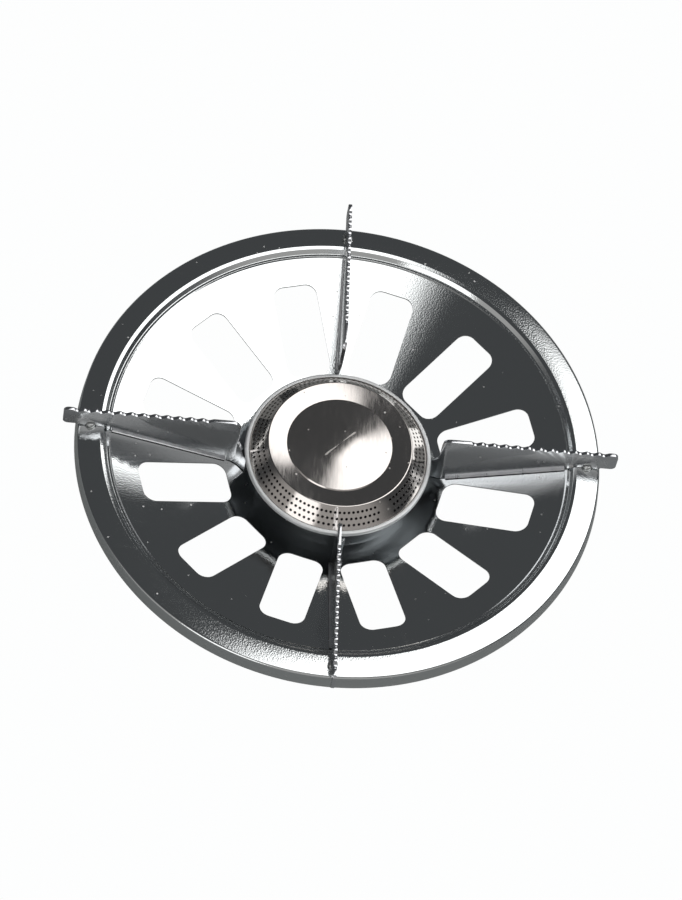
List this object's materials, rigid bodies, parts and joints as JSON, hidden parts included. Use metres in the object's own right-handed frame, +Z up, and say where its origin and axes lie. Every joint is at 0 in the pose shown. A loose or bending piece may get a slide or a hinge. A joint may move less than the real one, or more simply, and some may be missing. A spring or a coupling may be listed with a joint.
{
  "type": "screw-on gas cooker top",
  "caption": "Round chromed gas cooker top that screws onto a gas cylinder: slotted dished pan, serrated pot arms on edge, pressed burner with small ports, and a needle valve with a knob.",
  "frame": {"origin": "centre of the valve's seat face, on the axis of the cylinder thread", "axes": "+Z up the mixing tube towards the burner; the arms lie along X and Y; the control knob points along +Y"},
  "size_m": [0.318, 0.318, 0.121],
  "materials": {
    "chrome": "bright chrome plate on pressed steel",
    "polished_stainless": "polished stainless steel, slightly warm",
    "satin_aluminium": "satin",
    "zinc_plate": "zinc plated, semi-matt",
    "brass": "machined",
    "rubber": "matt",
    "black_plastic": "fine-grained moulding"
  },
  "bodies": {
    "cooker": {"drip_pan": "chrome", "pot_arm_east": "chrome", "pot_arm_north": "chrome", "pot_arm_west": "chrome", "pot_arm_south": "chrome", "arm_stud_east": "chrome", "arm_stud_north": "chrome", "arm_stud_west": "chrome", "arm_stud_south": "chrome", "burner_bowl": "satin_aluminium", "burner_cap": "polished_stainless", "mixing_tube": "zinc_plate", "tube_washer": "zinc_plate", "tube_locknut": "zinc_plate", "valve_body": "brass", "valve_pin": "brass", "seat_seal": "rubber", "gas_jet": "brass", "spindle_packing": "rubber", "gland_nut": "brass"},
    "needle": {"needle_spindle": "brass"},
    "knob": {"control_knob": "black_plastic", "knob_screw": "zinc_plate"}
  },
  "joints": [
    {"name": "needle_travel", "type": "slide", "parent": "cooker", "child": "needle", "axis": [0, 1, 0], "range_m": [0, 0.0015]},
    {"name": "knob_turn", "type": "hinge", "parent": "needle", "child": "knob", "pos_m": [0, 0.044, 0.014], "axis": [0, 1, 0], "range_deg": [0, 540]}
  ],
  "couplings": [
    {"joint": "knob_turn", "follows": "needle_travel", "rad_per_m": 6283.2}
  ]
}
